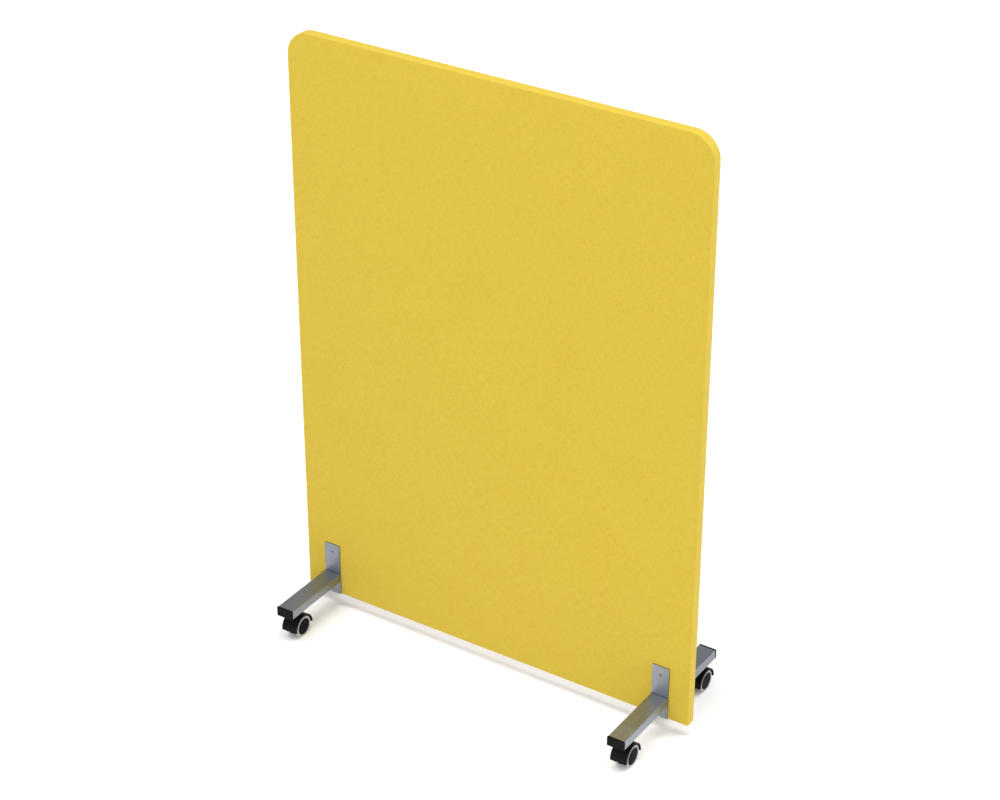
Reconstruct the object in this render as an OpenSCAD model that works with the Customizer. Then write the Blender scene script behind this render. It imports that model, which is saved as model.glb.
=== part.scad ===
// Free-standing fabric-covered partition screen on four tube feet with hooded twin-wheel castors.
// The origin is on the floor under the middle of the panel. X runs along the panel, Y from its
// front to its back, and Z up. Sizes are in millimetres.

/* [Panel] */
// Width of the covered panel
panel_w = 1000; // [800:10:1400]
// Height of the covered panel
panel_h = 1360; // [1000:10:1700]
// Thickness of the covered panel
panel_t = 24; // [22:1:40]
// Gap between the floor and the panel
panel_gap = 35; // [34:1:60]
// Radius of the two top corners
corner_r = 55; // [30:1:80]
// Thickness of the fabric cover
cover_t = 1; // [0.6:0.1:1.5]
// Thickness of the padding sheet on each face
padding_t = 2; // [1:0.5:4]
// Width of the cover's hem under the bottom edge
hem_w = 8; // [6:0.5:9]

/* [Frame inside the panel] */
// Width of the frame's bars
bar_w = 45; // [40:1:60]
// Side of the square that each corner block is cut from
corner_block_w = 90; // [85:1:120]
// Width of each mounting block behind the foot plates
mounting_block_w = 60; // [50:1:80]
// Height of each mounting block
mounting_block_h = 100; // [90:1:140]
// Diameter of the frame's dowels
dowel_d = 8; // [6:1:10]
// Length of the frame's dowels
dowel_l = 36; // [30:2:50]

/* [Feet] */
// Distance from the panel's side to a foot's centre line
foot_inset = 69.5; // [69:0.5:85]
// How far each foot reaches out from the panel's face, with its end cap
foot_reach = 185; // [140:1:260]
// Height of the foot's plate
plate_h = 130; // [110:1:160]
// Thickness of the foot's plate
plate_t = 3; // [2:0.5:5]
// Width of the tube, and of the plate
tube_w = 41; // [36:1:50]
// Height of the tube
tube_h = 22; // [20:1:30]
// Wall thickness of the tube
tube_wall = 1.5; // [1.2:0.1:1.8]
// Outer corner radius of the tube
tube_r = 2; // [1.9:0.1:3]
// Height of the tube's underside above the plate's lower edge
tube_lift = 33; // [32:1:50]
// Height of the lower clamping screw above the plate's lower edge
lower_screw_lift = 11; // [9:1:14]
// Distance of the upper clamping screw below the plate's upper edge
upper_screw_drop = 21; // [15:1:25]
// Thickness of the end cap's rim
cap_rim = 3.5; // [2:0.5:5]

/* [Castors] */
// Diameter of the castor wheels, over their tyres
wheel_d = 50; // [50:1:50]
// Width of a castor over its two wheels
castor_w = 35; // [34:1:40]
// Width of each tyre
tyre_w = 10; // [9:0.5:10]
// Radial thickness of each tyre
tyre_t = 5; // [3:0.5:6]
// How far the wheel axle trails behind the swivel stem
trail = 6; // [6:1:10]
// Distance from the swivel stem to the foot's outer end
stem_inset = 39; // [34:1:45]

/* [Hidden] */
$fn = 64;

// Directions used for the four corners of the screen
LEFT = -1;
RIGHT = 1;
FRONT = -1;
REAR = 1;

// Gaps
seat_gap = 0.05;    // between the foot plates and the fabric, and between a tyre and its rim
running_gap = 0.05; // radial, between a shaft and its bore
core_gap = 1;       // around the core boards
cut = 1;            // how far a cutting shape runs past the solid it cuts

// Panel layers, from the outside in
panel_top = panel_gap + panel_h;
padding_face = panel_t / 2 - cover_t;
frame_t = panel_t - 2 * (cover_t + padding_t);
frame_side = panel_w / 2 - cover_t;
frame_foot = panel_gap + cover_t;
frame_head = panel_top - cover_t;
bar_side = frame_side - bar_w;
middle_z = (frame_foot + frame_head) / 2;
block_side = frame_side - corner_block_w;
block_foot = frame_head - corner_block_w;

// Dowel holes: a pair at each joint, either side of the bars' centre line
dowel_edge = 12.5; // from a bar's edge to the nearer dowel's centre line
dowel_pitch = bar_w - 2 * dowel_edge;
dowel_r = dowel_d / 2;

// Staples in the hem
staple_count = 8;
staple_margin = 80; // from the panel's side to the outermost staples
staple_pitch = (panel_w - 2 * staple_margin) / (staple_count - 1);
staple_w = 10;
staple_wire = 0.6;
staple_leg = 6;

// Feet and the screws that clamp them to the panel
foot_x = panel_w / 2 - foot_inset;
tube_mid_z = panel_gap + tube_lift + tube_h / 2;
tube_l = foot_reach - cap_rim - plate_t - seat_gap;
plate_corner_r = 1.5;
weld_r = 1.5;
screw_heights = [panel_gap + lower_screw_lift, panel_gap + plate_h - upper_screw_drop];
screw_r = 2.5;
screw_head_r = 4.6;
screw_head_h = 2.2;
screw_l = panel_t;
sleeve_r = 3.5;
sleeve_wall_end = 7; // from the sleeve nut's tip to the front plate
clamp_hole_r = 3.7;
socket_af = 3;
socket_depth = 1.8;
cap_lip = 0.5; // how far the end cap's rim stands out past the tube
plug_l = 14;
plug_wall = 2;
plug_gap = 0.1;

// Castors
wheel_r = wheel_d / 2;
rim_r = wheel_r - tyre_t;
stem_y = panel_t / 2 + foot_reach - stem_inset;
tube_foot = panel_gap + tube_lift;
insert_r = 6.4;
insert_flange_r = 8;
insert_flange_t = 1;
insert_l = 14;
stud_r = 5;
collar_af = 14;
collar_h = 4.4;
collar_gap = 0.1;   // between the collar and the insert's flange
collar_top = tube_foot - insert_flange_t - collar_gap;
collar_foot = collar_top - collar_h;
pin_r = 4;
pin_lift = 8.5;     // from the wheel axle's centre line up to the pin's lower end
pin_foot = wheel_r + pin_lift;
pin_groove_r = 3.3;
ring_r = 5.2;
ring_h = 1.2;
ring_slit = 3;
ring_drop = 6;      // from the collar's underside down to the ring
ring_z = collar_foot - ring_drop;
ring_gap = 0.4;
neck_r = 9;
neck_top = collar_foot - ring_gap;
neck_sink = 2;
socket_r = 7;
socket_floor = 3;
hood_r = 31;
hood_offset = 1.5;  // the hood's outside is this far ahead of the wheel axle
wheel_room = 1.8;   // radial, between the tyres and the hood
hood_inner_r = wheel_r + wheel_room;
hood_overhang = 2;  // how far the hood stands out past each wheel
hood_w = castor_w + 2 * hood_overhang;
front_lip_drop = 3; // from the wheel axle's centre line down to the hood's front lip
rear_lip_drop = 1;  // from the wheel axle's centre line down to the hood's rear lip
hood_front_z = wheel_r - front_lip_drop;
hood_rear_z = wheel_r - rear_lip_drop;
notch_w = 9;
notch_h = 3;
shoulder_sink = 3;  // from the hood's top down to the shoulder's top
shoulder_z = wheel_r + hood_r - shoulder_sink;
shoulder_h = 4;
shoulder_flare = 5;
web_t = 6;
web_overlap = 1;    // how far the web runs into the hood
web_r = hood_inner_r + web_overlap;
web_foot = 14;
boss_r = 6.5;
axle_r = 3;
axle_end_gap = 2;
wheel_inner = castor_w / 2 - tyre_w;
wheel_play = 0.6;   // between the axle's boss and each wheel
boss_w = 2 * (wheel_inner - wheel_play);
wheel_outer = castor_w / 2;
pocket_gap = 0.3;
pocket_w = tyre_w + 2 * pocket_gap + hood_overhang;
hub_r = 6.5;
rim_t = 3;
face_t = 2.4;
bore_recess = 0.4;  // how far the axle's bore runs into the wheel's outer face
dome = 0.5;
tyre_round = 2;

// ---- Shared shapes ----

// A rectangle with rounded corners, centred
module rounded_rect(w, h, r) {
  square([w - 2 * r, h], center = true);
  square([w, h - 2 * r], center = true);
  for (x = [-1, 1], y = [-1, 1])
    translate([x * (w / 2 - r), y * (h / 2 - r)])
      circle(r);
}

// An outline drawn in X and Z, made solid from y_start towards the back
module slab(y_start, t) {
  translate([0, y_start + t, 0])
    rotate([90, 0, 0])
      linear_extrude(t)
        children();
}

// The panel's front view, moved in from its edge by inset
module panel_outline(inset) {
  half = panel_w / 2 - inset;
  r = corner_r - inset;
  foot = panel_gap + inset;
  head = panel_top - inset;
  translate([-half, foot])
    square([2 * half, head - r - foot]);
  translate([r - half, foot])
    square([2 * (half - r), head - foot]);
  for (side = [LEFT, RIGHT])
    translate([side * (half - r), head - r])
      circle(r);
}

// A bar of the frame between two corners given in X and Z
module frame_bar(low, high) {
  slab(-frame_t / 2, frame_t)
    translate(low)
      square(high - low);
}

// A cylinder that lies along X, with its middle at the origin
module cylinder_x(r, l) {
  rotate([0, 90, 0])
    cylinder(r = r, h = l, center = true);
}

// The dowels of both sides of the frame, each longer or thicker by a gap when it cuts a hole
module dowel_set(gap) {
  level = [
    [bar_side, frame_foot + bar_w / 2],
    [bar_side, middle_z],
    [block_side, frame_head - bar_w / 2]
  ];
  for (side = [LEFT, RIGHT], pair = [-0.5, 0.5]) {
    for (joint = level)
      translate([side * joint.x, 0, joint.y + pair * dowel_pitch])
        cylinder_x(dowel_r + gap, dowel_l + 2 * gap);
    translate([side * (frame_side - bar_w / 2) + pair * dowel_pitch, 0, block_foot])
      cylinder(r = dowel_r + gap, h = dowel_l + 2 * gap, center = true);
  }
}

// The holes that the clamping screws and sleeve nuts pass through
module clamp_holes() {
  for (side = [LEFT, RIGHT], z = screw_heights)
    translate([side * foot_x, 0, z])
      rotate([90, 0, 0])
        cylinder(r = clamp_hole_r, h = panel_t + 2 * cut, center = true);
}

// A countersunk head with its flat face on the XY plane, pointing down
module countersunk_head() {
  translate([0, 0, -screw_head_h])
    cylinder(r1 = screw_r, r2 = screw_head_r, h = screw_head_h);
}

// The hexagon socket in a screw's head
module hex_socket() {
  translate([0, 0, -socket_depth])
    cylinder(d = socket_af / cos(30), h = socket_depth + cut, $fn = 6);
}

// Puts a front foot's part at a corner of the screen. A rear foot is its mirror image.
module at_foot(side, row) {
  translate([side * foot_x, row * panel_t / 2, 0])
    mirror([0, row == REAR ? 1 : 0, 0])
      children();
}

// Puts a castor's part at a corner. All four castors trail the same way, towards the back.
module at_castor(side, row) {
  translate([side * foot_x, row * stem_y, 0])
    children();
}

// ---- Panel ----

module stile(side) {
  color("burlywood")
    difference() {
      frame_bar([side == LEFT ? -frame_side : bar_side, frame_foot],
                [side == LEFT ? -bar_side : frame_side, block_foot]);
      dowel_set(running_gap);
    }
}

module stile_left() { stile(LEFT); }
module stile_right() { stile(RIGHT); }

module rail_bottom() {
  color("burlywood")
    difference() {
      frame_bar([-bar_side, frame_foot], [bar_side, frame_foot + bar_w]);
      dowel_set(running_gap);
      clamp_holes();
    }
}

module rail_middle() {
  color("burlywood")
    difference() {
      frame_bar([-bar_side, middle_z - bar_w / 2], [bar_side, middle_z + bar_w / 2]);
      dowel_set(running_gap);
    }
}

module rail_top() {
  color("burlywood")
    difference() {
      frame_bar([-block_side, frame_head - bar_w], [block_side, frame_head]);
      dowel_set(running_gap);
    }
}

module corner_block(side) {
  color("tan")
    difference() {
      slab(-frame_t / 2, frame_t)
        intersection() {
          panel_outline(cover_t);
          translate([side == LEFT ? -frame_side : block_side, block_foot])
            square(corner_block_w);
        }
      dowel_set(running_gap);
    }
}

module corner_block_left() { corner_block(LEFT); }
module corner_block_right() { corner_block(RIGHT); }

module mounting_block(side) {
  low_x = side == LEFT ? -bar_side : bar_side - mounting_block_w;
  low_z = frame_foot + bar_w;
  color("peru")
    difference() {
      frame_bar([low_x, low_z], [low_x + mounting_block_w, low_z + mounting_block_h]);
      clamp_holes();
    }
}

module mounting_block_left() { mounting_block(LEFT); }
module mounting_block_right() { mounting_block(RIGHT); }

module frame_dowels() {
  color("wheat")
    dowel_set(0);
}

// A core board between two rails, clear of every block that it meets
module core_board(low_z, high_z) {
  half = bar_side - core_gap;
  color("darkgrey")
    difference() {
      frame_bar([-half, low_z + core_gap], [half, high_z - core_gap]);
      for (side = [LEFT, RIGHT]) {
        translate([side * bar_side, 0, frame_foot + bar_w])
          cube([2 * (mounting_block_w + core_gap), panel_t,
                2 * (mounting_block_h + core_gap)], center = true);
        translate([side * frame_side, 0, frame_head])
          cube([2 * (corner_block_w + core_gap), panel_t,
                2 * (corner_block_w + core_gap)], center = true);
      }
    }
}

module core_lower() { core_board(frame_foot + bar_w, middle_z - bar_w / 2); }
module core_upper() { core_board(middle_z + bar_w / 2, frame_head - bar_w); }

module padding(y_start) {
  color("whitesmoke")
    difference() {
      slab(y_start, padding_t)
        panel_outline(cover_t);
      clamp_holes();
    }
}

module padding_front() { padding(-padding_face); }
module padding_back() { padding(padding_face - padding_t); }

// The cover is a sleeve over the panel, with a hem turned in under the bottom edge
module fabric_cover() {
  slot_w = panel_t - 2 * hem_w;
  color("gold")
    difference() {
      slab(-panel_t / 2, panel_t)
        panel_outline(0);
      slab(-padding_face, 2 * padding_face)
        panel_outline(cover_t);
      translate([-frame_side, -slot_w / 2, panel_gap - cut])
        cube([2 * frame_side, slot_w, cover_t + 2 * cut]);
      clamp_holes();
    }
}

// One staple with its crown under the hem and its two legs up in the bottom rail
module staple() {
  translate([-staple_w / 2, -staple_wire / 2, panel_gap - staple_wire])
    cube([staple_w, staple_wire, staple_wire]);
  for (end = [LEFT, RIGHT])
    translate([end * (staple_w - staple_wire) / 2, 0, panel_gap - staple_wire])
      translate([-staple_wire / 2, -staple_wire / 2, 0])
        cube([staple_wire, staple_wire, staple_wire + staple_leg]);
}

module hem_staples() {
  color("silver")
    for (row = [FRONT, REAR], i = [0 : staple_count - 1])
      translate([(i - (staple_count - 1) / 2) * staple_pitch, row * (panel_t - hem_w) / 2, 0])
        staple();
}

// ---- Feet ----

// A plate and a tube, joined by a weld bead along the tube's underside
module foot_solid() {
  translate([0, -seat_gap - plate_t, panel_gap + plate_h / 2])
    rotate([-90, 0, 0])
      linear_extrude(plate_t)
        rounded_rect(tube_w, plate_h, plate_corner_r);
  translate([0, -seat_gap - plate_t, tube_mid_z])
    rotate([90, 0, 0])
      linear_extrude(tube_l)
        difference() {
          rounded_rect(tube_w, tube_h, tube_r);
          rounded_rect(tube_w - 2 * tube_wall, tube_h - 2 * tube_wall, tube_r - tube_wall);
        }
  translate([0, -seat_gap - plate_t, tube_foot])
    cylinder_x(weld_r, tube_w - 2 * tube_r);
}

// A front foot: a plate that lies on the panel and a tube welded to it
module foot() {
  color("lightsteelblue")
    difference() {
      foot_solid();
      for (z = screw_heights)
        translate([0, -seat_gap - plate_t, z])
          rotate([90, 0, 0]) {
            countersunk_head();
            cylinder(r = sleeve_r + running_gap, h = 2 * (plate_t + cut), center = true);
          }
      translate([0, stem_inset - foot_reach, tube_foot])
        cylinder(r = insert_r + running_gap, h = tube_h, center = true);
    }
}

module foot_front_left() { at_foot(LEFT, FRONT) foot(); }
module foot_front_right() { at_foot(RIGHT, FRONT) foot(); }
module foot_rear_left() { at_foot(LEFT, REAR) foot(); }
module foot_rear_right() { at_foot(RIGHT, REAR) foot(); }

// A front end cap: a rim that covers the tube's end and a hollow plug inside it
module end_cap() {
  inner_w = tube_w - 2 * (tube_wall + plug_gap);
  inner_h = tube_h - 2 * (tube_wall + plug_gap);
  color([0.09, 0.09, 0.1])
    translate([0, cap_rim - foot_reach, tube_mid_z])
      rotate([90, 0, 0]) {
        linear_extrude(cap_rim)
          rounded_rect(tube_w + 2 * cap_lip, tube_h + 2 * cap_lip, tube_r);
        translate([0, 0, -plug_l])
          linear_extrude(plug_l)
            difference() {
              rounded_rect(inner_w, inner_h, tube_r - tube_wall);
              square([inner_w - 2 * plug_wall, inner_h - 2 * plug_wall], center = true);
            }
      }
}

module end_cap_front_left() { at_foot(LEFT, FRONT) end_cap(); }
module end_cap_front_right() { at_foot(RIGHT, FRONT) end_cap(); }
module end_cap_rear_left() { at_foot(LEFT, REAR) end_cap(); }
module end_cap_rear_right() { at_foot(RIGHT, REAR) end_cap(); }

// A screw from the front plate into the sleeve nut behind it
module clamp_screws() {
  color("grey")
    for (side = [LEFT, RIGHT], z = screw_heights)
      translate([side * foot_x, -panel_t / 2 - seat_gap - plate_t, z])
        rotate([90, 0, 0])
          difference() {
            union() {
              countersunk_head();
              translate([0, 0, -screw_l])
                cylinder(r = screw_r, h = screw_l - screw_head_h);
            }
            hex_socket();
          }
}

// A sleeve nut from the rear plate, through the panel, almost to the front plate
module sleeve_nuts() {
  sleeve_l = panel_t + seat_gap + plate_t - sleeve_wall_end;
  color("grey")
    for (side = [LEFT, RIGHT], z = screw_heights)
      translate([side * foot_x, panel_t / 2 + seat_gap + plate_t, z])
        rotate([-90, 0, 0])
          difference() {
            union() {
              countersunk_head();
              translate([0, 0, -sleeve_l])
                cylinder(r = sleeve_r, h = sleeve_l);
            }
            hex_socket();
            translate([0, 0, -sleeve_l - cut])
              cylinder(r = screw_r + running_gap, h = sleeve_l + cut - 2 * socket_depth);
          }
}

// ---- Castor mountings ----

module stem_insert() {
  difference() {
    union() {
      translate([0, 0, tube_foot - insert_flange_t])
        cylinder(r = insert_flange_r, h = insert_flange_t);
      translate([0, 0, tube_foot - insert_flange_t])
        cylinder(r = insert_r, h = insert_l + insert_flange_t);
    }
    translate([0, 0, tube_foot - insert_flange_t - cut])
      cylinder(r = stud_r + running_gap, h = insert_l + insert_flange_t + 2 * cut);
  }
}

module stem_inserts() {
  color("gainsboro")
    for (side = [LEFT, RIGHT], row = [FRONT, REAR])
      at_castor(side, row)
        stem_insert();
}

// The stem: a stud in the foot, a hexagon collar and the pin that the castor swivels on
module castor_stem() {
  color("gainsboro")
    difference() {
      union() {
        translate([0, 0, collar_foot])
          cylinder(r = stud_r, h = tube_foot + insert_l - collar_foot);
        translate([0, 0, collar_foot])
          cylinder(d = collar_af / cos(30), h = collar_h, $fn = 6);
        translate([0, 0, pin_foot])
          cylinder(r = pin_r, h = collar_foot - pin_foot);
      }
      translate([0, 0, ring_z - ring_h / 2 - seat_gap])
        difference() {
          cylinder(r = 2 * pin_r, h = ring_h + 2 * seat_gap);
          translate([0, 0, -cut])
            cylinder(r = pin_groove_r, h = ring_h + 2 * cut);
        }
    }
}

module castor_stem_front_left() { at_castor(LEFT, FRONT) castor_stem(); }
module castor_stem_front_right() { at_castor(RIGHT, FRONT) castor_stem(); }
module castor_stem_rear_left() { at_castor(LEFT, REAR) castor_stem(); }
module castor_stem_rear_right() { at_castor(RIGHT, REAR) castor_stem(); }

// A split ring that sits in the pin's groove and keeps the castor on its stem
module stem_ring() {
  translate([0, 0, ring_z])
    difference() {
      cylinder(r = ring_r, h = ring_h, center = true);
      cylinder(r = pin_groove_r + seat_gap, h = ring_h + 2 * cut, center = true);
      translate([-ring_slit / 2, 0, -ring_h])
        cube([ring_slit, 2 * ring_r, 2 * ring_h]);
    }
}

module stem_rings() {
  color("dimgray")
    for (side = [LEFT, RIGHT], row = [FRONT, REAR])
      at_castor(side, row)
        stem_ring();
}

// ---- Castors ----

// Moves a part from the wheel axle's centre to its place behind the stem
module at_axle() {
  translate([0, trail, wheel_r])
    children();
}

// The hood: a round fender over both wheels, closed at the front and open below
module hood() {
  low = -hood_r;
  difference() {
    translate([0, trail - hood_offset, wheel_r])
      cylinder_x(hood_r, hood_w);
    at_axle()
      cylinder_x(hood_inner_r, hood_w + 2 * cut);
    translate([-hood_w, trail - 2 * hood_r, low])
      cube([2 * hood_w, 2 * hood_r, hood_front_z - low]);
    translate([-hood_w, trail, low])
      cube([2 * hood_w, 2 * hood_r, hood_rear_z - low]);
    translate([-notch_w / 2, trail - 2 * hood_r, low])
      cube([notch_w, hood_r, hood_front_z + notch_h - low]);
  }
}

// The upright plate between the wheels, cut off flat below
module web() {
  intersection() {
    at_axle()
      cylinder_x(web_r, web_t);
    translate([-web_t, trail - web_r, web_foot])
      cube([2 * web_t, 2 * web_r, 2 * web_r]);
  }
}

// The socket that holds the stem's pin, with a shoulder and a neck above the hood
module stem_socket() {
  translate([0, 0, pin_foot - socket_floor])
    cylinder(r = socket_r, h = neck_top - pin_foot + socket_floor);
  translate([0, 0, shoulder_z - shoulder_h])
    cylinder(r1 = neck_r + shoulder_flare, r2 = neck_r, h = shoulder_h + neck_sink);
  translate([0, 0, shoulder_z])
    cylinder(r = neck_r, h = neck_top - shoulder_z);
}

// The room that one wheel needs inside the hood
module wheel_pocket(side) {
  translate([side * (wheel_inner + pocket_w / 2 - pocket_gap), trail, wheel_r])
    cylinder_x(hood_inner_r, pocket_w);
}

module castor_housing() {
  color([0.1, 0.1, 0.11])
    difference() {
      union() {
        hood();
        web();
        stem_socket();
        at_axle()
          cylinder_x(boss_r, boss_w);
      }
      for (side = [LEFT, RIGHT])
        wheel_pocket(side);
      translate([0, 0, pin_foot - seat_gap])
        cylinder(r = pin_r + running_gap, h = neck_top);
      translate([0, 0, ring_z])
        cylinder(r = ring_r + 2 * running_gap, h = ring_h + 2 * ring_gap, center = true);
      at_axle()
        cylinder_x(axle_r + running_gap, castor_w);
    }
}

module castor_housing_front_left() { at_castor(LEFT, FRONT) castor_housing(); }
module castor_housing_front_right() { at_castor(RIGHT, FRONT) castor_housing(); }
module castor_housing_rear_left() { at_castor(LEFT, REAR) castor_housing(); }
module castor_housing_rear_right() { at_castor(RIGHT, REAR) castor_housing(); }

module wheel_axle() {
  color("gainsboro")
    at_axle()
      cylinder_x(axle_r, castor_w - 2 * (face_t + axle_end_gap));
}

module wheel_axle_front_left() { at_castor(LEFT, FRONT) wheel_axle(); }
module wheel_axle_front_right() { at_castor(RIGHT, FRONT) wheel_axle(); }
module wheel_axle_rear_left() { at_castor(LEFT, REAR) wheel_axle(); }
module wheel_axle_rear_right() { at_castor(RIGHT, REAR) wheel_axle(); }

// Turns an outline of radius and distance from the castor's middle about the wheel axle
module turned(side) {
  at_axle()
    rotate([0, side * 90, 0])
      rotate_extrude()
        children();
}

// A wheel: a domed outer face, a rim under the tyre and a hub that runs on the axle
module wheel(side) {
  face_in = wheel_outer - face_t;
  inner = wheel_inner + seat_gap;
  bore_end = face_in + bore_recess;
  color([0.12, 0.12, 0.13])
    turned(side)
      polygon([
        [axle_r + running_gap, inner],
        [hub_r, inner],
        [hub_r, face_in],
        [rim_r - rim_t, face_in],
        [rim_r - rim_t, inner],
        [rim_r, inner],
        [rim_r, wheel_outer - dome],
        [rim_r / 2, wheel_outer - dome / 4],
        [0, wheel_outer],
        [0, bore_end],
        [axle_r + running_gap, bore_end]
      ]);
}

module outer_wheel_front_left() { at_castor(LEFT, FRONT) wheel(LEFT); }
module outer_wheel_front_right() { at_castor(RIGHT, FRONT) wheel(RIGHT); }
module outer_wheel_rear_left() { at_castor(LEFT, REAR) wheel(LEFT); }
module outer_wheel_rear_right() { at_castor(RIGHT, REAR) wheel(RIGHT); }
module inner_wheel_front_left() { at_castor(LEFT, FRONT) wheel(RIGHT); }
module inner_wheel_front_right() { at_castor(RIGHT, FRONT) wheel(LEFT); }
module inner_wheel_rear_left() { at_castor(LEFT, REAR) wheel(RIGHT); }
module inner_wheel_rear_right() { at_castor(RIGHT, REAR) wheel(LEFT); }

// A soft tyre with a rounded tread
module tyre(side) {
  low = rim_r + seat_gap;
  color("silver")
    turned(side) {
      translate([low, wheel_inner])
        square([wheel_r - tyre_round - low, tyre_w]);
      translate([low, wheel_inner + tyre_round])
        square([wheel_r - low, tyre_w - 2 * tyre_round]);
      for (x = [wheel_inner + tyre_round, wheel_outer - tyre_round])
        translate([wheel_r - tyre_round, x])
          circle(tyre_round);
    }
}

module outer_tyre_front_left() { at_castor(LEFT, FRONT) tyre(LEFT); }
module outer_tyre_front_right() { at_castor(RIGHT, FRONT) tyre(RIGHT); }
module outer_tyre_rear_left() { at_castor(LEFT, REAR) tyre(LEFT); }
module outer_tyre_rear_right() { at_castor(RIGHT, REAR) tyre(RIGHT); }
module inner_tyre_front_left() { at_castor(LEFT, FRONT) tyre(RIGHT); }
module inner_tyre_front_right() { at_castor(RIGHT, FRONT) tyre(LEFT); }
module inner_tyre_rear_left() { at_castor(LEFT, REAR) tyre(RIGHT); }
module inner_tyre_rear_right() { at_castor(RIGHT, REAR) tyre(LEFT); }

stile_left();
stile_right();
rail_bottom();
rail_middle();
rail_top();
corner_block_left();
corner_block_right();
mounting_block_left();
mounting_block_right();
frame_dowels();
core_lower();
core_upper();
padding_front();
padding_back();
fabric_cover();
hem_staples();
foot_front_left();
foot_front_right();
foot_rear_left();
foot_rear_right();
end_cap_front_left();
end_cap_front_right();
end_cap_rear_left();
end_cap_rear_right();
clamp_screws();
sleeve_nuts();
stem_inserts();
stem_rings();
castor_stem_front_left();
castor_stem_front_right();
castor_stem_rear_left();
castor_stem_rear_right();
castor_housing_front_left();
castor_housing_front_right();
castor_housing_rear_left();
castor_housing_rear_right();
wheel_axle_front_left();
wheel_axle_front_right();
wheel_axle_rear_left();
wheel_axle_rear_right();
outer_wheel_front_left();
outer_wheel_front_right();
outer_wheel_rear_left();
outer_wheel_rear_right();
inner_wheel_front_left();
inner_wheel_front_right();
inner_wheel_rear_left();
inner_wheel_rear_right();
outer_tyre_front_left();
outer_tyre_front_right();
outer_tyre_rear_left();
outer_tyre_rear_right();
inner_tyre_front_left();
inner_tyre_front_right();
inner_tyre_rear_left();
inner_tyre_rear_right();
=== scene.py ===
import math

import bpy
import numpy as np
from mathutils import Matrix, Vector


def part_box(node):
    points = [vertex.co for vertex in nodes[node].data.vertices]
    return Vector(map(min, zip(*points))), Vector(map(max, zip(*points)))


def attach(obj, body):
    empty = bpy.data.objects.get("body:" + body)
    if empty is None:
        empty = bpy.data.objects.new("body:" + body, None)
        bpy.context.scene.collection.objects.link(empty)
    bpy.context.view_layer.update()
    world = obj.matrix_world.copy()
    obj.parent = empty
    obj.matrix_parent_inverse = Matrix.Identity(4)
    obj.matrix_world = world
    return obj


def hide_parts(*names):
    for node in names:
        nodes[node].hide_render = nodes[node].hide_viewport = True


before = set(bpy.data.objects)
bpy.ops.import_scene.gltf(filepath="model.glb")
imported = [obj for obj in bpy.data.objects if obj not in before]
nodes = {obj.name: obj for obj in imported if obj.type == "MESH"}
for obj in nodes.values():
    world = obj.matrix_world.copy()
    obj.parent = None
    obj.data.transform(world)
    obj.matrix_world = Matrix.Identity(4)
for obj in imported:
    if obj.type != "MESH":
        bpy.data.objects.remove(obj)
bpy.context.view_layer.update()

# ---------------------------------------------------------------- sizes, in metres, read from the frame

MM = 0.001
cover_low, cover_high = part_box("fabric_cover")
PANEL_SIDE = cover_high.x
PANEL_FRONT = cover_low.y
PANEL_BACK = cover_high.y
PANEL_FOOT = cover_low.z
PANEL_TOP = cover_high.z
CORNER_R = 55 * MM            # top corners of the panel
BOTTOM_R = 1.9 * MM           # bottom corners, where the fabric is folded under
EDGE_R = 1.8 * MM             # rounding of the fabric over the padding's edges
HEM_W = 8 * MM                # hem turned in under the bottom edge
COVER_T = 0.8 * MM            # thickness of the fabric
CELL = 12 * MM                # size of the cover's mesh cells on its faces
FINE_CELL = 0.7 * CELL        # size of the cells beside the rounded top corners
SWELL = 1.0 * MM              # how far the padding may push the fabric out
SWELL_FRAMES = 20             # length of the cloth simulation
TRAVEL_SOFT = 10 * MM         # simulated travel at which the fabric starts to hold the padding back
PLATE_MARGIN = 2 * MM         # flat fabric around a foot plate
EASE = 30 * MM                # distance over which the fabric rises beside an edge or a plate
TINY = 0.001 * MM             # distance under which two points count as one

X, Y, Z = 0, 1, 2
CORNERS = ("front_left", "front_right", "rear_left", "rear_right")

# ---------------------------------------------------------------- node helpers


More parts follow.
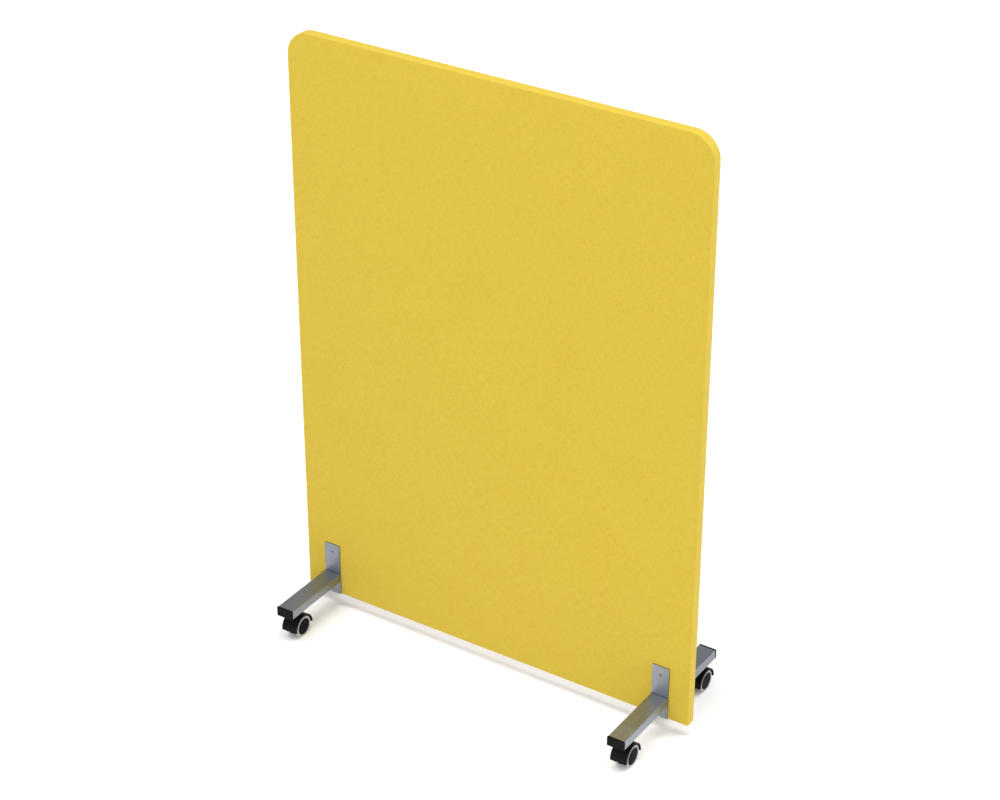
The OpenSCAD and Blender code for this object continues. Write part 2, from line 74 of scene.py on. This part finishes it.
class Shader:
    """A material's node tree, with short calls for the nodes that the materials below share."""

    def __init__(self, name):
        self.material = bpy.data.materials.new(name)
        self.material.use_nodes = True
        self.nodes = self.material.node_tree.nodes
        self.links = self.material.node_tree.links
        self.bsdf = self.nodes["Principled BSDF"]
        self.coordinates = self.nodes.new("ShaderNodeTexCoord").outputs["Object"]

    def link(self, value, socket):
        """Plugs a node output into an input socket, or sets that socket to a plain value."""
        if isinstance(value, bpy.types.NodeSocket):
            self.links.new(value, socket)
        else:
            socket.default_value = value

    def set(self, **inputs):
        """Sets inputs of the Principled BSDF. Their names are written with _ for each space."""
        for name, value in inputs.items():
            self.link(value, self.bsdf.inputs[name.replace("_", " ")])

    def math(self, operation, a, b=0.0, clamp=False):
        n = self.nodes.new("ShaderNodeMath")
        n.operation = operation
        n.use_clamp = clamp
        for value, socket in zip((a, b), n.inputs):
            self.link(value, socket)
        return n.outputs[0]

    def scaled(self, vector, scale):
        n = self.nodes.new("ShaderNodeMapping")
        self.link(vector, n.inputs["Vector"])
        n.inputs["Scale"].default_value = scale
        return n.outputs[0]

    def noise(self, vector, scale, detail=2.0, roughness=0.5):
        n = self.nodes.new("ShaderNodeTexNoise")
        self.link(vector, n.inputs["Vector"])
        n.inputs["Scale"].default_value = scale
        n.inputs["Detail"].default_value = detail
        n.inputs["Roughness"].default_value = roughness
        return n.outputs["Fac"]

    def remap(self, value, low, high, to_low, to_high):
        n = self.nodes.new("ShaderNodeMapRange")
        self.link(value, n.inputs["Value"])
        for name, limit in (("From Min", low), ("From Max", high), ("To Min", to_low), ("To Max", to_high)):
            n.inputs[name].default_value = limit
        return n.outputs["Result"]

    def mix(self, share, a, b, blend="MIX"):
        n = self.nodes.new("ShaderNodeMix")
        n.data_type = "RGBA"
        n.blend_type = blend
        self.link(share, n.inputs["Factor"])
        for value, socket in ((a, n.inputs[6]), (b, n.inputs[7])):
            self.link(value if isinstance(value, bpy.types.NodeSocket) else (*value, 1.0), socket)
        return n.outputs[2]

    def grey(self, value):
        n = self.nodes.new("ShaderNodeCombineColor")
        for name in ("Red", "Green", "Blue"):
            self.link(value, n.inputs[name])
        return n.outputs[0]

    def split(self, vector):
        n = self.nodes.new("ShaderNodeSeparateXYZ")
        self.link(vector, n.inputs[0])
        return n.outputs

    def attribute(self, name):
        n = self.nodes.new("ShaderNodeAttribute")
        n.attribute_name = name
        return n.outputs["Vector"]

    def bump(self, height, strength, distance):
        n = self.nodes.new("ShaderNodeBump")
        n.inputs["Strength"].default_value = strength
        n.inputs["Distance"].default_value = distance
        self.link(height, n.inputs["Height"])
        self.link(n.outputs["Normal"], self.bsdf.inputs["Normal"])


def edge_wear(shader):
    """0 on flat faces and rising to 1 on outer edges, broken up by noise."""
    pointiness = shader.nodes.new("ShaderNodeNewGeometry").outputs["Pointiness"]
    edge = shader.remap(pointiness, 0.52, 0.62, 0.0, 1.0)
    patches = shader.remap(shader.noise(shader.coordinates, 90.0, 3.0), 0.4, 0.65, 0.0, 1.0)
    return shader.math("MULTIPLY", edge, patches, clamp=True)


def painted_corner_shade(shader, reach):
    """0 on open faces and rising to 1 in inner corners, where shade falls: a mask for painted shade."""
    n = shader.nodes.new("ShaderNodeAmbientOcclusion")
    n.only_local = True
    n.samples = 8
    n.inputs["Distance"].default_value = reach
    return shader.remap(n.outputs["AO"], 0.78, 0.5, 0.0, 1.0)


# ---------------------------------------------------------------- materials


def woven_fabric():
    """Yellow wool-look upholstery: a plain weave of thick and thin yarns, with slubs and a soft nap."""
    s = Shader("yellow_weave")
    cloth = s.attribute("cloth")
    u, v, _ = s.split(cloth)
    yarn = 1.15 * MM
    warp = s.math("SINE", s.math("MULTIPLY", u, 2 * math.pi / yarn))
    weft = s.math("SINE", s.math("MULTIPLY", v, 2 * math.pi / yarn))
    weave = s.math("MULTIPLY", warp, weft)
    slub_across = s.noise(s.scaled(cloth, (70.0, 460.0, 1.0)), 1.0, 3.0, 0.62)
    slub_up = s.noise(s.scaled(cloth, (460.0, 70.0, 1.0)), 1.0, 3.0, 0.62)
    slubs = s.math("MULTIPLY", s.math("ADD", slub_across, slub_up), 0.5)
    flecks = s.noise(s.scaled(cloth, (900.0, 900.0, 1.0)), 1.0, 2.0, 0.6)
    clouds = s.noise(s.scaled(cloth, (9.0, 9.0, 1.0)), 1.0, 3.0, 0.5)
    tone = s.math("ADD", s.remap(slubs, 0.38, 0.62, 0.0, 0.62), s.remap(flecks, 0.3, 0.7, -0.05, 0.33))
    tone = s.math("ADD", tone, s.remap(clouds, 0.3, 0.7, -0.04, 0.04), clamp=True)
    colour = s.mix(tone, (0.437, 0.302, 0.022), (0.522, 0.396, 0.043))
    shade = s.remap(weave, -1.0, 1.0, 0.965, 1.02)
    colour = s.mix(1.0, colour, s.grey(shade), blend="MULTIPLY")
    s.set(Base_Color=colour, Roughness=s.remap(slubs, 0.35, 0.65, 0.82, 0.95))
    s.set(Sheen_Weight=0.22, Sheen_Roughness=0.45, Sheen_Tint=(1.0, 0.86, 0.45, 1.0))
    s.set(Specular_IOR_Level=0.25)
    height = s.math("ADD", s.math("MULTIPLY", weave, 0.35), s.math("MULTIPLY", slubs, 1.6))
    s.bump(s.math("ADD", height, s.math("MULTIPLY", flecks, 0.5)), 0.35, 0.25 * MM)
    return s.material


def satin_steel(name, base, grain_axis, roughness):
    """Satin stainless steel, with fine brushed lines along one axis of the piece, and painted shade in its
    inner corners.
    """
    s = Shader(name)
    stretch = [900.0, 900.0, 900.0]
    stretch[grain_axis] = 14.0
    lines = s.noise(s.scaled(s.coordinates, stretch), 1.0, 4.0, 0.65)
    smudges = s.noise(s.coordinates, 22.0, 3.0, 0.6)
    colour = s.mix(s.remap(lines, 0.35, 0.65, 0.0, 1.0), [c * 0.92 for c in base], [c * 1.06 for c in base])
    # painted shade: the colour falls to a quarter of the base in inner corners, such as where the tube meets
    # its plate
    colour = s.mix(painted_corner_shade(s, 4 * MM), colour, [c * 0.25 for c in base])
    s.set(Base_Color=colour, Metallic=1.0)
    rough = s.math("ADD", s.remap(lines, 0.3, 0.7, roughness - 0.05, roughness + 0.06),
                   s.remap(smudges, 0.35, 0.7, -0.03, 0.07))
    s.set(Roughness=rough)
    s.bump(lines, 0.12, 0.05 * MM)
    return s.material


def plated_steel():
    """Bright zinc plating, slightly cloudy."""
    s = Shader("zinc_plated_steel")
    clouds = s.noise(s.coordinates, 160.0, 4.0, 0.6)
    s.set(Base_Color=s.mix(s.remap(clouds, 0.3, 0.7, 0.0, 1.0), (0.60, 0.62, 0.64), (0.76, 0.77, 0.77)))
    s.set(Metallic=1.0, Roughness=s.remap(clouds, 0.3, 0.7, 0.24, 0.4))
    s.bump(clouds, 0.1, 0.04 * MM)
    return s.material


def moulded_plastic(name, colour, worn, roughness, gloss, grain, grain_strength):
    """Injection-moulded plastic with a fine grain, faint flow marks and edges rubbed to a paler grey."""
    s = Shader(name)
    flow = s.noise(s.coordinates, 35.0, 3.0, 0.55)
    pebbles = s.noise(s.coordinates, grain, 2.0, 0.5)
    base = s.mix(s.remap(flow, 0.35, 0.7, 0.0, 1.0), colour, [c * 1.35 for c in colour])
    s.set(Base_Color=s.mix(s.math("MULTIPLY", edge_wear(s), 0.35), base, (worn, worn, worn)))
    s.set(Roughness=s.math("ADD", s.remap(flow, 0.3, 0.7, roughness - 0.04, roughness + 0.06),
                           s.remap(pebbles, 0.3, 0.7, -0.03, 0.03)))
    s.set(Specular_IOR_Level=gloss)
    s.bump(pebbles, grain_strength, 0.08 * MM)
    return s.material


def soft_tyre():
    """Pale grey soft tread, a little dusty and scuffed where it rolls."""
    s = Shader("grey_tyre_rubber")
    dust = s.noise(s.coordinates, 120.0, 4.0, 0.6)
    scuffs = s.noise(s.scaled(s.coordinates, (900.0, 160.0, 160.0)), 1.0, 3.0, 0.6)
    colour = s.mix(s.remap(dust, 0.35, 0.7, 0.0, 1.0), (0.34, 0.345, 0.355), (0.285, 0.287, 0.292))
    scuffed = s.math("MULTIPLY", s.remap(scuffs, 0.55, 0.75, 0.0, 1.0), 0.35)
    colour = s.mix(scuffed, colour, (0.17, 0.17, 0.17))
    s.set(Base_Color=colour, Roughness=s.remap(dust, 0.3, 0.7, 0.5, 0.68))
    s.bump(scuffs, 0.2, 0.06 * MM)
    return s.material


def timber(name, light, dark, grain_axis):
    """Planed timber, with growth rings stretched along the bar."""
    s = Shader(name)
    stretch = [26.0, 26.0, 26.0]
    stretch[grain_axis] = 1.6
    figure = s.noise(s.scaled(s.coordinates, stretch), 1.0, 4.0, 0.55)
    rings = s.math("SINE", s.math("MULTIPLY", figure, 46.0))
    pores = s.noise(s.scaled(s.coordinates, [c * 22 for c in stretch]), 1.0, 2.0, 0.6)
    colour = s.mix(s.remap(rings, -1.0, 1.0, 0.0, 1.0), light, dark)
    open_pores = s.math("MULTIPLY", s.remap(pores, 0.52, 0.7, 0.0, 1.0), 0.4)
    colour = s.mix(open_pores, colour, [c * 0.55 for c in dark])
    s.set(Base_Color=colour, Roughness=s.remap(pores, 0.3, 0.7, 0.55, 0.75))
    s.bump(pores, 0.25, 0.15 * MM)
    return s.material


def felt(name, pale, dark, scale):
    """Needled fibre: short tangled fibres with a mottled tone."""
    s = Shader(name)
    fibres = s.noise(s.coordinates, scale, 6.0, 0.75)
    mottle = s.noise(s.coordinates, scale / 18, 3.0, 0.5)
    tone = s.math("ADD", s.remap(fibres, 0.3, 0.7, 0.0, 0.7), s.remap(mottle, 0.3, 0.7, 0.0, 0.3))
    s.set(Base_Color=s.mix(tone, dark, pale), Roughness=0.95, Sheen_Weight=0.2, Specular_IOR_Level=0.2)
    s.bump(fibres, 0.5, 0.4 * MM)
    return s.material


# ---------------------------------------------------------------- the fabric cover


def spaced(low, high, step):
    """Positions about step apart from low up to high, with high itself left out."""
    return np.linspace(low, high, max(1, round((high - low) / step)) + 1)[:-1]


def rounded_corner(points, centre, r, side, up):
    """Bends the square corner of a grid beyond centre into a quarter disc of radius r."""
    local = (points - centre) * (side, up)
    inside = (local >= -TINY).all(axis=1)
    a, b = local[inside].clip(0).T
    reach = np.maximum(a, b)
    safe = np.where(reach > 0, reach, 1)
    angle = np.where(a >= b, b / safe * math.pi / 4, math.pi / 2 - a / safe * math.pi / 4)
    points[inside] = centre + np.stack([reach * np.cos(angle) * side, reach * np.sin(angle) * up], axis=1)
    return points


def face_grid():
    """The flat part of the panel's front view as a grid: its points in X and Z, and its rows and columns."""
    half = PANEL_SIDE - EDGE_R
    foot, top = PANEL_FOOT + EDGE_R, PANEL_TOP - EDGE_R
    big, small = CORNER_R - EDGE_R, BOTTOM_R - EDGE_R
    left = [-half, *spaced(small - half, big - half, FINE_CELL)]
    xs = np.array([*left, *spaced(big - half, half - big, CELL), *(-np.array(left[::-1]))])
    xs = np.unique(np.round(np.append(xs, half - big), 7))
    zs = np.array([foot, *spaced(foot + small, top - big, CELL), *spaced(top - big, top, FINE_CELL), top])
    points = np.array([(x, z) for z in zs for x in xs])
    for side in (-1, 1):
        rounded_corner(points, np.array((side * (half - big), top - big)), big, side, 1)
        rounded_corner(points, np.array((side * (half - small), foot + small)), small, side, -1)
    return points, len(zs), len(xs)


def outline_normals(points):
    """Outward directions at the points of the flat face's outline."""
    half = PANEL_SIDE - EDGE_R
    top, foot = PANEL_TOP - EDGE_R, PANEL_FOOT + EDGE_R
    normals = []
    for x, z in points:
        side, up = (1 if x > 0 else -1), (1 if z > (top + foot) / 2 else -1)
        r = (CORNER_R if up > 0 else BOTTOM_R) - EDGE_R
        beyond_x = max(0, abs(x) - half + r)
        beyond_z = max(0, z - top + r) if up > 0 else max(0, foot + r - z)
        normals.append(Vector((beyond_x * side, beyond_z * up)).normalized())
    return np.array(normals)


def cover_mesh():
    """The cover as one sleeve with an open slot between its hems. Returns its points, faces, the piece each
    face belongs to, and each point's place on the unrolled cloth."""
    grid, rows, columns = face_grid()
    index = np.arange(rows * columns).reshape(rows, columns)
    loop = np.concatenate([index[0, :-1], index[:-1, -1], index[-1, :0:-1], index[:0:-1, 0]])
    outline, count = grid[loop], len(loop)
    normals = outline_normals(outline)
    turns = [math.radians(a) for a in (22.5, 45, 67.5, 90)]
    rounding = [(EDGE_R * math.sin(a), EDGE_R * (1 - math.cos(a)), EDGE_R * a) for a in turns]
    flat = HEM_W - EDGE_R
    wrap = EDGE_R * math.pi / 2
    front = rounding + [(EDGE_R, HEM_W, wrap + flat)]
    rings = [(out, PANEL_FRONT + depth, run) for out, depth, run in front]
    whole = 2 * (wrap + flat) + PANEL_BACK - PANEL_FRONT - 2 * HEM_W
    rings += [(out, PANEL_BACK - depth, whole - run) for out, depth, run in front[::-1]]

    verts = [(x, PANEL_FRONT, z) for x, z in grid]
    cloth = [(x, z, 0) for x, z in grid]
    for out, y, run in rings:
        for (x, z), (nx, nz) in zip(outline, normals):
            verts.append((x + nx * out, y, z + nz * out))
            cloth.append((x + nx * run, z + nz * run, 0))
    last = len(verts)
    verts += [(x, PANEL_BACK, z) for x, z in grid]
    cloth += [(x, z, 0) for x, z in grid]

    faces, kinds = [], []

    def quad(kind, *corners):
        faces.append([int(c) for c in corners])
        kinds.append(kind)

    for r in range(rows - 1):
        for c in range(columns - 1):
            a, b, e, f = index[r, c], index[r, c + 1], index[r + 1, c + 1], index[r + 1, c]
            quad("front", a, b, e, f)
            quad("back", last + f, last + e, last + b, last + a)
    levels = [loop] + [len(grid) + k * count + np.arange(count) for k in range(len(rings))] + [last + loop]
    middle = len(front)
    hem_slot = range(1, columns - 2)
    for k, (low, high) in enumerate(zip(levels, levels[1:])):
        kind = "edge" if k == middle else ("front" if k < middle else "back")
        for i in range(count):
            if k == middle and i in hem_slot:
                continue
            j = (i + 1) % count
            quad(kind, low[j], low[i], high[i], high[j])
    return verts, faces, kinds, cloth


def new_object(name, verts, faces):
    mesh = bpy.data.meshes.new(name)
    mesh.from_pydata(verts, [], faces)
    mesh.update()
    obj = bpy.data.objects.new(name, mesh)
    bpy.context.scene.collection.objects.link(obj)
    return obj


def coordinates(obj):
    co = np.zeros(len(obj.data.vertices) * 3)
    obj.data.vertices.foreach_get("co", co)
    return co.reshape(-1, 3)


def plate_boxes():
    """Low and high corners, in X and Z, of the foot plates on the front and on the back."""
    front = [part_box("foot_" + c) for c in CORNERS if c.startswith("front")]
    rear = [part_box("foot_" + c) for c in CORNERS if c.startswith("rear")]
    return [[(low.xz, high.xz) for low, high in boxes] for boxes in (front, rear)]


def free_to_swell(rest):
    """How free each point of the cover is to move out: 0 at edges and under plates, 1 away from them."""
    x, y, z = rest.T
    half = PANEL_SIDE
    from_edge = np.minimum.reduce([half - abs(x), PANEL_TOP - z, z - PANEL_FOOT])
    corner = np.hypot(np.maximum(abs(x) - half + CORNER_R, 0), np.maximum(z - PANEL_TOP + CORNER_R, 0))
    from_edge = np.minimum(from_edge, CORNER_R - corner)
    share = np.clip((from_edge - EDGE_R) / EASE, 0, 1)
    for boxes, on_side in zip(plate_boxes(), (y < 0, y > 0)):
        for low, high in boxes:
            away = np.hypot(np.maximum.reduce([low[0] - x, x - high[0], 0 * x]),
                            np.maximum.reduce([low[1] - z, z - high[1], 0 * z]))
            near = np.clip((away - PLATE_MARGIN) / EASE, 0, 1)
            share = np.where(on_side, np.minimum(share, near), share)
    return share * share * (3 - 2 * share)


def pushed_out(obj, rest, free):
    """How far each point of the stretched fabric travels in Y when the padding presses on it in a cloth
    simulation."""
    pins = obj.vertex_groups.new(name="pins")
    for i, f in enumerate(free):
        pins.add([i], float(1 - min(1, f * 4)), "REPLACE")
    cloth = obj.modifiers.new("swell", "CLOTH")
    cloth.settings.vertex_group_mass = "pins"
    cloth.settings.quality = 5
    cloth.settings.mass = 0.3
    cloth.settings.tension_stiffness = 40
    cloth.settings.compression_stiffness = 40
    cloth.settings.bending_stiffness = 8
    cloth.settings.use_pressure = True
    cloth.settings.uniform_pressure_force = 4
    cloth.settings.effector_weights.gravity = 0
    cloth.point_cache.frame_start = 1
    cloth.point_cache.frame_end = SWELL_FRAMES
    scene = bpy.context.scene
    for step in range(1, SWELL_FRAMES + 1):
        scene.frame_set(step)
    evaluated = obj.evaluated_get(bpy.context.evaluated_depsgraph_get())
    travel = (coordinates(evaluated) - rest)[:, Y]
    obj.modifiers.remove(cloth)
    scene.frame_set(1)
    return travel


def swell(obj):
    """Gives the cover a slight crown from the cloth simulation, scaled by each point's freedom to move out.
    """
    rest = coordinates(obj)
    free = free_to_swell(rest)
    share = np.tanh(pushed_out(obj, rest, free) / TRAVEL_SOFT)
    rest[:, Y] += SWELL * share * free
    obj.data.vertices.foreach_set("co", rest.ravel())
    obj.data.update()


def build_cover(material):
    verts, faces, kinds, cloth = cover_mesh()
    sleeve = new_object("cover_sleeve", verts, faces)
    swell(sleeve)
    shape = coordinates(sleeve)
    bpy.data.objects.remove(sleeve)
    cloth = np.array(cloth, np.float32)
    for kind in ("front", "back", "edge"):
        chosen = [f for f, k in zip(faces, kinds) if k == kind]
        used = sorted({i for f in chosen for i in f})
        order = {old: new for new, old in enumerate(used)}
        piece = new_object("cover_" + kind, shape[used].tolist(), [[order[i] for i in f] for f in chosen])
        layer = piece.data.attributes.new("cloth", "FLOAT_VECTOR", "POINT")
        layer.data.foreach_set("vector", cloth[used].ravel())
        piece.data.materials.append(material)
        piece.data.shade_smooth()
        thick = piece.modifiers.new("fabric_thickness", "SOLIDIFY")
        thick.thickness = COVER_T
        thick.offset = -1
        crisp = piece.modifiers.new("crisp_seams", "EDGE_SPLIT")
        crisp.split_angle = math.radians(50)
        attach(piece, "root")
        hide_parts("fabric_cover")


# ---------------------------------------------------------------- CAD nodes: finish and softened edges


def soften(name, width):
    """Welds the imported mesh and rounds its sharp edges a little, as modifiers."""
    obj = nodes[name]
    weld = obj.modifiers.new("weld", "WELD")
    weld.merge_threshold = 2 * TINY
    bevel = obj.modifiers.new("soft_edges", "BEVEL")
    bevel.width = width
    bevel.segments = 2
    bevel.limit_method = "ANGLE"
    bevel.angle_limit = math.radians(32)
    smooth = obj.modifiers.new("normals", "WEIGHTED_NORMAL")
    smooth.keep_sharp = False


def finish_node(name, material):
    obj = nodes[name]
    obj.data.materials.clear()
    obj.data.materials.append(material)


fabric = woven_fabric()
steel_tube = satin_steel("satin_steel", (0.272, 0.292, 0.328), Y, 0.43)
screw_steel = satin_steel("screw_steel", (0.24, 0.24, 0.26), X, 0.4)
zinc = plated_steel()
cap_plastic = moulded_plastic("cap_plastic", (0.0028, 0.0028, 0.0032), worn=0.016, roughness=0.45, gloss=0.06,
                              grain=900.0, grain_strength=0.25)
castor_plastic = moulded_plastic("castor_plastic", (0.0032, 0.0032, 0.0037), worn=0.012, roughness=0.34,
                                 gloss=0.07, grain=1400.0, grain_strength=0.06)
wheel_plastic = moulded_plastic("wheel_plastic", (0.0024, 0.0024, 0.0034), worn=0.012, roughness=0.42,
                                gloss=0.03, grain=1400.0, grain_strength=0.10)
tyre_rubber = soft_tyre()
pine_up = timber("pine_upright", (0.72, 0.54, 0.32), (0.58, 0.40, 0.21), Z)
pine_across = timber("pine_across", (0.72, 0.54, 0.32), (0.58, 0.40, 0.21), X)
beech = timber("beech", (0.66, 0.45, 0.27), (0.52, 0.33, 0.18), X)
white_felt = felt("padding_felt", (0.82, 0.81, 0.78), (0.62, 0.61, 0.58), 700.0)
grey_board = felt("fibre_board", (0.50, 0.51, 0.53), (0.30, 0.31, 0.33), 500.0)

FINISHES = {
    "stile_left": pine_up, "stile_right": pine_up,
    "rail_bottom": pine_across, "rail_middle": pine_across, "rail_top": pine_across,
    "corner_block_left": beech, "corner_block_right": beech,
    "mounting_block_left": beech, "mounting_block_right": beech, "frame_dowels": beech,
    "core_lower": grey_board, "core_upper": grey_board,
    "padding_front": white_felt, "padding_back": white_felt,
    "fabric_cover": fabric, "hem_staples": zinc,
    "clamp_screws": screw_steel, "sleeve_nuts": screw_steel,
    "stem_inserts": zinc, "stem_rings": zinc,
}
BY_CORNER = {
    "foot_": (steel_tube, 0.5), "end_cap_": (cap_plastic, 0.8), "castor_stem_": (zinc, 0.3),
    "castor_housing_": (castor_plastic, 0.8), "wheel_axle_": (zinc, 0.2),
    "outer_wheel_": (wheel_plastic, 0.4), "inner_wheel_": (wheel_plastic, 0.4),
    "outer_tyre_": (tyre_rubber, 0.0), "inner_tyre_": (tyre_rubber, 0.0),
}

for name, material in FINISHES.items():
    finish_node(name, material)
for prefix, (material, rounding) in BY_CORNER.items():
    for corner in CORNERS:
        finish_node(prefix + corner, material)
        if rounding:
            soften(prefix + corner, rounding * MM)

build_cover(fabric)

# ---------------------------------------------------------------- studio: floor, light and camera


def studio_floor():
    """A plain white floor, which the camera sees fade to pure white away from the object."""
    s = Shader("studio_floor")
    x, y, _ = s.split(s.coordinates)
    away = s.math("SQRT", s.math("ADD", s.math("MULTIPLY", x, x), s.math("MULTIPLY", y, y)))
    seen = s.nodes.new("ShaderNodeLightPath").outputs["Is Camera Ray"]
    s.set(Base_Color=(0.93, 0.93, 0.93, 1.0), Roughness=0.7, Specular_IOR_Level=0.2)
    s.set(Emission_Color=(1.0, 1.0, 1.0, 1.0))
    s.set(Emission_Strength=s.math("MULTIPLY", seen, s.remap(away, 1.5, 4.0, 0.0, 0.7)))
    half = 9.0
    corners = [(x * half, y * half, 0) for x, y in ((-1, -1), (1, -1), (1, 1), (-1, 1))]
    floor = new_object("studio_floor", corners, [(0, 1, 2, 3)])
    floor.data.materials.append(s.material)


def studio_world():
    """White where the camera sees it, and a dim even grey as light, so that softboxes shape the object."""
    world = bpy.data.worlds.new("studio")
    bpy.context.scene.world = world
    world.use_nodes = True
    tree = world.node_tree
    tree.nodes.clear()
    output = tree.nodes.new("ShaderNodeOutputWorld")
    mix = tree.nodes.new("ShaderNodeMixShader")
    light = tree.nodes.new("ShaderNodeBackground")
    seen = tree.nodes.new("ShaderNodeBackground")
    path = tree.nodes.new("ShaderNodeLightPath")
    light.inputs["Color"].default_value = (0.50, 0.505, 0.52, 1)
    seen.inputs["Color"].default_value = (1, 1, 1, 1)
    tree.links.new(path.outputs["Is Camera Ray"], mix.inputs[0])
    tree.links.new(light.outputs[0], mix.inputs[1])
    tree.links.new(seen.outputs[0], mix.inputs[2])
    tree.links.new(mix.outputs[0], output.inputs["Surface"])


def softbox(name, place, target, width, height, power):
    data = bpy.data.lights.new(name, "AREA")
    data.shape = "RECTANGLE"
    data.size, data.size_y = width, height
    data.energy = power
    lamp = bpy.data.objects.new(name, data)
    lamp.location = place
    lamp.rotation_mode = "QUATERNION"
    lamp.rotation_quaternion = (Vector(target) - Vector(place)).to_track_quat("-Z", "Y")
    bpy.context.scene.collection.objects.link(lamp)


def photo_camera():
    """The studio camera, set by where it stands, the two angles it looks along and its roll."""
    azimuth, elevation, roll = math.radians(33.064), math.radians(29.903), math.radians(0.10)
    back = Vector((math.sin(azimuth) * math.cos(elevation), -math.cos(azimuth) * math.cos(elevation),
                   math.sin(elevation)))
    right = Vector((math.cos(azimuth), math.sin(azimuth), 0))
    up = back.cross(right)
    turned_right = right * math.cos(roll) + up * math.sin(roll)
    turned_up = up * math.cos(roll) - right * math.sin(roll)
    data = bpy.data.cameras.new("camera")
    data.sensor_width = 36.0
    data.lens = 90.16
    data.clip_end = 100.0
    camera = bpy.data.objects.new("camera", data)
    camera.matrix_world = Matrix.Translation((2.4919, -3.8049, 3.2872)) @ Matrix(
        (turned_right, turned_up, back)).transposed().to_4x4()
    bpy.context.scene.collection.objects.link(camera)
    bpy.context.scene.camera = camera


studio_floor()
studio_world()
softbox("overhead", (0.35, -0.50, 4.6), (0, 0, 0), 7.0, 0.45, 238.0)
softbox("front_wall", (0.9, -5.0, 1.7), (0, 0, 0.8), 5.0, 2.6, 134.0)
softbox("back_wall", (2.2, 4.6, 1.0), (0, 0, 0.7), 4.5, 1.8, 56.0)
softbox("right_wall", (5.0, -0.6, 1.7), (0, 0, 0.7), 3.0, 2.4, 88.0)
photo_camera()
bpy.context.scene.view_settings.view_transform = "Standard"
